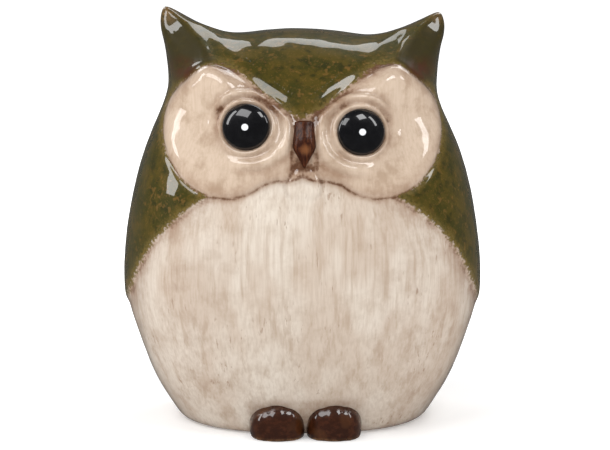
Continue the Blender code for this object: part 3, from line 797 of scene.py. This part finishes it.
def loft(name, rings, material):
    """A closed solid through rings of as many points each."""
    count = len(rings[0])
    points = [p for ring in rings for p in ring]
    faces = [tuple(reversed(range(count))), tuple(range(len(points) - count, len(points)))]
    for r in range(len(rings) - 1):
        for i in range(count):
            j = (i + 1) % count
            a, b = r * count, (r + 1) * count
            faces.append((a + i, a + j, b + j, b + i))
    return mesh_object(name, points, faces, material)


def lip_rows(steps=5):
    """(depth below the surface, how far the cut widens there) down a rounded lip."""
    turns = [math.pi / 2 * k / steps for k in range(steps + 1)]
    return [(LIP * (1 - math.sin(t)), LIP * (1 - math.cos(t))) for t in turns]


def slot_cutter(material):
    """A level slot whose rounded lip follows the back of the head."""
    radius, steps = SLOT_HEIGHT / 2, 12
    outline = []
    for end in (1, -1):
        middle = end * (SLOT_LENGTH / 2 - radius)
        for k in range(steps + 1):
            turn = -math.pi / 2 + math.pi * k / steps
            outline.append((middle, end * math.cos(turn), end * math.sin(turn)))

    def ring(widen, depth):
        """The slot's outline, widened, at a depth under the back of the head."""
        wide = radius + widen
        flat = np.array([(middle + wide * c, SLOT_UP + wide * s) for middle, c, s in outline])
        start = np.stack([flat[:, 0], np.zeros(len(flat)), flat[:, 1]], axis=-1)
        back = shoot(np.tile([0.0, 1.0, 0.0], (len(flat), 1)), start)
        back[:, 1] -= depth
        return [tuple(p) for p in back]

    rings = [ring(0.0, SLOT_CUT_DEPTH)] + [ring(widen, depth) for depth, widen in lip_rows()]
    rings.append(ring(LIP * 1.6, -SLOT_CUT_PROUD))
    return loft("slot_cutter", [list(reversed(r)) for r in rings], material)


def superellipse(half_across, half_up, level):
    """A ring of the figure's own roundness at one level."""
    power = 2.0 / ROUNDNESS
    turn = np.linspace(0.0, 2.0 * math.pi, ROUND_SEGMENTS, endpoint=False)
    c, s = np.cos(turn), np.sin(turn)
    across = half_across * np.sign(c) * np.abs(c) ** power
    up = half_up * np.sign(s) * np.abs(s) ** power
    return [(float(a), float(b), level) for a, b in zip(across, up)]


def make_shell():
    """The glazed casting with its relief, hollow, recess, stopper hole and coin slot."""
    glaze, clay = painted_glaze(), bare_clay()
    directions, quads = cube_sphere(SHELL_CELLS)
    middles = shoot(directions, RAY_START * STRETCH)[quads].mean(axis=1)
    x, y, z = np.moveaxis(middles / STRETCH, -1, 0)
    on_face = (z > 89.0) & (y < -6.0) & (brow_height(x, z) < 5.0)
    on_ear = (z > 122.0) & (y < 2.0) & (np.abs(x) > 26.0)
    directions, faces = refined(directions, quads, on_face | on_ear)
    form = shoot(directions, RAY_START * STRETCH)
    lift, wash = relief(form)
    points = form + normals(form) * lift[:, None]
    points[:, 2] = np.maximum(points[:, 2], 0.0)
    shell = mesh_object("owl_shell", points, faces, glaze)
    x, y, z = np.moveaxis(form / STRETCH, -1, 0)
    face = smooth(2.0, -2.0, disc_distance(x, z)) * smooth(-2.0, -8.0, y)
    # the ears' valleys, painted darker brown, partly as painted shade
    ear = smooth(1.0, -0.8, ear_ridge_distance(x, z)) * smooth(121.0, 134.0, z)
    ear = ear * smooth(28.0, 33.0, np.abs(x))
    ear = ear * smooth(0.0, 1.5, disc_distance(x, z)) * smooth(3.0, -3.0, y)
    tip = smooth(8.0, 0.0, np.hypot(np.abs(x) - 50.0, z - 151.0))
    red = bump(np.hypot((np.abs(x) - 42.0) / 1.2, z - 130.5), 7.0) * smooth(0.0, -6.0, y)
    green = green_distance(form)
    add_values(shell, green=green, wash=wash, face=face, ear=ear, tip=tip, red=red)

    directions, quads = cube_sphere(CAVITY_CELLS)
    hollow = {"outline": EARLESS, "floor": RECESS_DEPTH}
    inner = shoot(directions, RAY_START * STRETCH, **hollow)
    cut(shell, mesh_object("cavity", inner - normals(inner, **hollow) * WALL, quads, clay))

    half_across, half_deep = base_section()
    rings = [superellipse(2 * half_across, 2 * half_deep, up) for up in (-PAST, FOOT_TRIM)]
    cut(shell, loft("foot_plane", rings, clay))
    rings = []
    levels = [(-PAST, 1.0 * MM), (0.0, 1.0 * MM), (1.0 * MM, 0.25 * MM), (RECESS_DEPTH, 0.0)]
    for up, wider in levels:
        sides = (half_across - FOOT_RING + wider, half_deep - FOOT_RING + wider)
        rings.append(superellipse(*sides, up))
    cut(shell, loft("recess", rings, clay))
    turns = [2 * math.pi * k / ROUND_SEGMENTS for k in range(ROUND_SEGMENTS)]
    rings = [
        [(HOLE_RADIUS * math.cos(a), HOLE_RADIUS * math.sin(a), up) for a in turns]
        for up in (-PAST, RECESS_DEPTH + WALL + PAST)
    ]
    cut(shell, loft("hole", rings, clay))
    cut(shell, slot_cutter(glaze))
    return shell


# ---------------------------------------------------------------- pieces stuck on
def face_frame(place):
    """Placing on the surface at a drawn place: X across, Y up along it, Z straight out."""
    point, normal = surface_point(place)
    out = Vector(normal)
    across = Vector((0, 0, 1)).cross(out).normalized()
    placed = Matrix((across, out.cross(across), out)).transposed().to_4x4()
    placed.translation = Vector(point)
    return placed


def bake_place(made, placed):
    """Moves the mesh itself, so that the object stays at the origin like the frame's nodes."""
    made.data.transform(placed)
    made.data.update()


def make_eye(name, place, material):
    """A bulging dome with a flat back, sunk in its lid."""
    rows, sink, stand, back = 24, 0.5 * MM, 3.8 * MM, 2.2 * MM
    radius = EYE_RADIUS * MM * 1.01
    profile = [(0.0, -back), (radius * 0.9, -back), (radius * 0.97, -back + 0.5 * MM)]
    for k in range(rows + 1):
        turn = math.pi / 2 * k / rows
        across = 0.0 if k == rows else radius * math.cos(turn)
        profile.append((across, (stand + sink) * math.sin(turn) ** 1.05 - sink))
    eye = turned(name, profile, 64, material)
    inward = -math.copysign(EYE_DOT_SHIFT * MM, place[0])
    places = [vertex.co for vertex in eye.data.vertices]
    dot = [math.hypot(co.x - inward, co.y) / MM if co.z > 0 else 9.0 for co in places]
    add_values(eye, dot=dot)
    eye.data.transform(Matrix.Diagonal((1.0, EYE_SQUASH, 1.0, 1.0)))
    bake_place(eye, face_frame(place))
    return eye


def make_beak(material):
    """A shield: nearly straight sides, widest two thirds down, then a point."""
    rows, segments, stand, behind = 40, 48, 3.6 * MM, 2.0 * MM
    width, length = BEAK_SIZE[0] * MM, BEAK_SIZE[1] * MM
    rings = []
    for row in range(rows):
        down = row / (rows - 1)
        wider, narrower = 0.18 * smooth(0.0, 0.55, down), 0.97 * smooth(0.55, 1.12, down) ** 0.8
        half = width / 2 * (0.82 + wider - narrower) * roll(down + 0.01, 0.05) ** 0.3
        higher, lower = 0.45 * smooth(0.0, 0.5, down), 0.5 * smooth(0.6, 1.0, down)
        out_here = stand * (0.55 + higher - lower) * roll(down + 0.01, 0.06) ** 0.4
        ring = []
        for k in range(segments):
            turn = 2 * math.pi * k / segments
            out = (out_here if turn < math.pi else behind) * math.sin(turn)
            ring.append((half * math.cos(turn), length * (0.5 - down), out))
        rings.append(ring)
    beak = loft("owl_beak", [list(reversed(r)) for r in rings], material)
    # distance from the painted highlight's middle
    spot = [math.hypot(v.co.x / MM - 0.4, v.co.y / MM + 2.6) for v in beak.data.vertices]
    add_values(beak, spot=spot)
    bake_place(beak, face_frame((BEAK_TOP[0], BEAK_TOP[1] - BEAK_SIZE[1] / 2)))
    return beak


def make_foot(name, node, side, material):
    """Three soft toes in one piece, in the box of its CAD node, with sloping outer sides."""
    low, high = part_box(node)
    width, height = high.x - low.x + 0.4 * MM, 14.0 * MM
    back, stand, roundness = 8.0 * MM, 4.0 * MM, 2.4
    segments, rows, lift = 72, 96, 3.75 * MM
    profile = []
    for k in range(rows + 1):
        turn = -math.pi / 2 + math.pi * k / rows
        profile.append((0.0 if k in (0, rows) else math.cos(turn), math.sin(turn)))
    foot = turned(name, profile, segments, material)
    for vertex in foot.data.vertices:
        y, z, x = vertex.co
        total = abs(x) ** roundness + abs(y) ** roundness + abs(z) ** roundness
        square = total ** (-1 / roundness)
        groove = 0.028 * math.exp(-(((abs(x) - 0.34) / 0.13) ** 2))
        slope = 1.0 - 0.16 * float(smooth(-0.1, 1.0, side * x)) * (1.0 if side < 0 else 0.3)
        vertex.co.x = x * square * width / 2
        vertex.co.y = y * square * (stand + back) * (1 - groove)
        vertex.co.z = max(z * square * slope * (height - lift) * (1 - groove), -lift)
    middle = Vector(((low.x + high.x) / 2 - side * 0.2 * MM, low.y + stand + back, lift))
    bake_place(foot, Matrix.Translation(middle))
    add_values(foot, ground=[v.co.z / MM for v in foot.data.vertices])
    foot.data.set_sharp_from_angle(angle=math.radians(60))
    return foot


# ---------------------------------------------------------------- stopper
def make_stopper(material):
    """A soft moulded cup with a snap bead, and the rib to grip, in its CAD node's box."""
    low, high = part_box("stopper")
    rim, flange_low, closed = high.x, low.z, high.z
    flange_top, bead, neck, inside = flange_low + 1.8 * MM, 19.7 * MM, 18.8 * MM, 16.4 * MM
    roof = closed - 2.4 * MM
    floor_top = RECESS_DEPTH + WALL + 0.3 * MM

    def corner(across, up, start, end, radius, steps=6):
        """An arc about (across, up) from start to end, in degrees."""
        turns = [math.radians(start + (end - start) * k / steps) for k in range(steps + 1)]
        return [(across + radius * math.cos(t), up + radius * math.sin(t)) for t in turns]

    profile = [(0.0, roof)]
    profile += list(reversed(corner(inside - 1.2 * MM, roof - 1.2 * MM, 0, 90, 1.2 * MM)))
    profile += corner(inside + 0.8 * MM, flange_low + 0.8 * MM, 180, 270, 0.8 * MM)
    profile += corner(rim - 0.8 * MM, flange_low + 0.8 * MM, -90, 0, 0.8 * MM)
    profile += corner(rim - 0.5 * MM, flange_top - 0.5 * MM, 0, 90, 0.5 * MM)
    profile += [(neck + 0.4 * MM, flange_top), (neck, flange_top + 0.4 * MM), (neck, floor_top)]
    profile += [(neck + 0.5 * MM, floor_top + 0.5 * MM)]
    profile += corner(bead - 0.8 * MM, floor_top + 1.7 * MM, -30, 40, 0.8 * MM)
    profile += corner(bead - 2.2 * MM, closed - 1.0 * MM, 20, 90, 1.0 * MM)
    profile += [(0.0, closed)]
    cup = turned("rubber_stopper", profile, ROUND_SEGMENTS, material)
    half, reach = 1.5 * MM, inside + 0.8 * MM
    rings = []
    levels = [
        (flange_low + 0.5 * MM, half - 0.6 * MM),
        (flange_low + 1.1 * MM, half),
        (roof + 0.8 * MM, half),
    ]
    for up, h in levels:
        rings.append([(-reach, -h, up), (reach, -h, up), (reach, h, up), (-reach, h, up)])
    rib = loft("stopper_rib", rings, material)
    return cup, rib


# ---------------------------------------------------------------- studio
# each: name, azimuth and elevation in degrees, then distance, width and height in metres, and watts
SOFTBOXES = (
    ("softbox_upper_left", -48, 50, 1.0, 0.58, 0.46, 4.2),
    ("softbox_left", -86, 28, 1.0, 0.20, 0.66, 2.4),
    ("softbox_upper_right", 46, 56, 1.0, 0.34, 0.36, 2.8),
    ("softbox_right", 76, 34, 1.0, 0.14, 0.46, 1.4),
    ("softbox_top", 161, 52, 1.0, 0.56, 0.22, 1.0),
    ("softbox_back_left", -145, 35, 1.1, 0.45, 0.45, 2.0),
    ("softbox_back_right", 150, 35, 1.1, 0.45, 0.45, 2.0),
)
LIT_POINT = (0.0, 0.0, 0.075)
FLOOR_RADIUS = 3.0
FLOOR_GREY, FLOOR_PALE = (0.84, 0.84, 0.84), (0.87, 0.87, 0.87)
WHITE = (1.0, 1.0, 1.0, 1.0)
WORLD_LIGHT, WORLD_SEEN, BOUNCED_LIGHT = 0.10, 1.0, 0.30
CAMERA_LENS, CAMERA_SENSOR = 144.0, 36.0
CAMERA_ELEVATION, CAMERA_DISTANCE = 10.0, 0.9
CAMERA_TARGET = (0.00093, 0.0, 0.0705)


def area_light(name, azimuth, elevation, distance, across, up, power):
    """A rectangular softbox round the figure.

    Azimuth 0 is in front of the face, and 90 on the viewer's right.
    """
    light = bpy.data.lights.new(name, "AREA")
    light.shape = "RECTANGLE"
    light.size, light.size_y, light.energy = across, up, power
    placed = bpy.data.objects.new(name, light)
    a, e = math.radians(azimuth), math.radians(elevation)
    back = Vector((math.sin(a) * math.cos(e), -math.cos(a) * math.cos(e), math.sin(e)))
    placed.location = Vector(LIT_POINT) + back * distance
    placed.rotation_mode = "QUATERNION"
    placed.rotation_quaternion = (-back).to_track_quat("-Z", "Y")
    bpy.context.scene.collection.objects.link(placed)


def make_studio():
    """A pale floor that glows and that the reflections don't show, a white world and the softboxes.
    """
    n = Nodes("pale_floor")
    n.put(n.shader.inputs["Base Color"], n.mix(n.noise(300.0), FLOOR_GREY, FLOOR_PALE))
    n.shader.inputs["Roughness"].default_value = 0.6
    # a painted glow: the floor glows, least near the figure and more further out, to look white
    away = n.node("ShaderNodeVectorMath", 1, {"operation": "LENGTH"}, Vector=n.place())
    n.shader.inputs["Emission Color"].default_value = WHITE
    n.put(n.shader.inputs["Emission Strength"], n.ramp(away, 60.0, 240.0, 0.25, 0.85))
    turns = [2 * math.pi * k / 64 for k in range(64)]
    points = [(FLOOR_RADIUS * math.cos(t), FLOOR_RADIUS * math.sin(t), -FLOOR_DROP) for t in turns]
    floor = mesh_object("studio_floor", points, [range(len(points))], n.material)
    floor.visible_glossy = False

    world = bpy.data.worlds.new("studio_world")
    world.use_nodes = True
    nodes, links = world.node_tree.nodes, world.node_tree.links
    path = nodes.new("ShaderNodeLightPath")
    strength = nodes.new("ShaderNodeMapRange")
    strength.inputs["To Min"].default_value = WORLD_LIGHT
    strength.inputs["To Max"].default_value = WORLD_SEEN
    links.new(path.outputs["Is Camera Ray"], strength.inputs["Value"])
    fill = nodes.new("ShaderNodeMath")
    fill.operation = "MULTIPLY_ADD"
    fill.inputs[1].default_value = BOUNCED_LIGHT
    links.new(path.outputs["Is Diffuse Ray"], fill.inputs[0])
    links.new(strength.outputs["Result"], fill.inputs[2])
    links.new(fill.outputs[0], nodes["Background"].inputs["Strength"])
    nodes["Background"].inputs["Color"].default_value = WHITE
    bpy.context.scene.world = world
    bpy.context.scene.view_settings.view_transform = "Standard"

    for softbox in SOFTBOXES:
        area_light(*softbox)


def make_camera():
    """A long lens in front of the face, 10 degrees above the horizon."""
    data = bpy.data.cameras.new("camera")
    data.lens, data.sensor_width = CAMERA_LENS, CAMERA_SENSOR
    camera = bpy.data.objects.new("camera", data)
    bpy.context.scene.collection.objects.link(camera)
    elevation = math.radians(CAMERA_ELEVATION)
    back = Vector((0.0, -math.cos(elevation), math.sin(elevation)))
    camera.location = Vector(CAMERA_TARGET) + back * CAMERA_DISTANCE
    camera.rotation_mode = "QUATERNION"
    camera.rotation_quaternion = (-back).to_track_quat("-Z", "Y")
    bpy.context.scene.camera = camera


# ---------------------------------------------------------------- assembly
def place(made, body, slot_name, *nodes):
    """Hangs the piece on its body and hides the CAD nodes that it replaces. slot_name is not used.
    """
    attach(made, body)
    if nodes:
        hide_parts(*nodes)


make_camera()
make_studio()
place(make_shell(), "body", "glazed_earthenware", "body_shell")
eye_black = eye_glaze()
place(make_eye("owl_left_eye", LEFT_EYE, eye_black), "body", "eye_glaze", "left_eye")
place(make_eye("owl_right_eye", RIGHT_EYE, eye_black), "body", "eye_glaze", "right_eye")
place(make_beak(beak_glaze()), "body", "beak_glaze", "beak")
umber = foot_glaze()
place(make_foot("owl_left_foot", "left_foot", -1, umber), "body", "foot_glaze", "left_foot")
place(make_foot("owl_right_foot", "right_foot", 1, umber), "body", "foot_glaze", "right_foot")
cup, rib = make_stopper(moulded_rubber())
place(cup, "plug", "stopper_rubber", "stopper")
place(rib, "plug", "stopper_rubber", "stopper")
